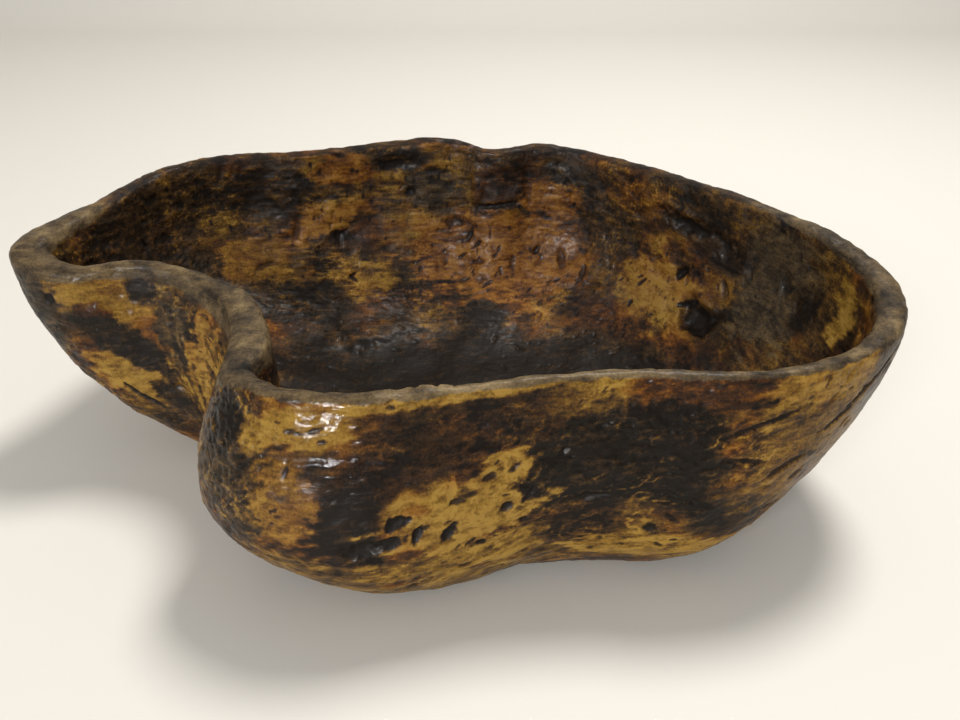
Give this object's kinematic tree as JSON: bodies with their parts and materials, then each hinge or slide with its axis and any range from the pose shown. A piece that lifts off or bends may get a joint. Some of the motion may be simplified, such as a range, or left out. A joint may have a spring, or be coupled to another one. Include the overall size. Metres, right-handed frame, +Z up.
{
  "type": "carved wooden bowl",
  "caption": "Free-form bowl carved from one burl block, with a rounded end, a narrow spout-like lobe and a deep fold in the near wall; it rests on a flattened base and holds fruit or dry goods.",
  "frame": {"origin": "middle of the footprint box, at the level of the flat resting face", "axes": "+X along the long side from the narrow lobe to the rounded end, +Y from the folded wall to the far wall, +Z up"},
  "size_m": [0.4226, 0.2832, 0.132],
  "materials": {
    "burl_wood": "ochre burl wood with dark brown stains under semi-gloss lacquer, rim worn to grey-brown"
  },
  "bodies": {
    "root": {"bowl": "burl_wood"}
  },
  "joints": []
}
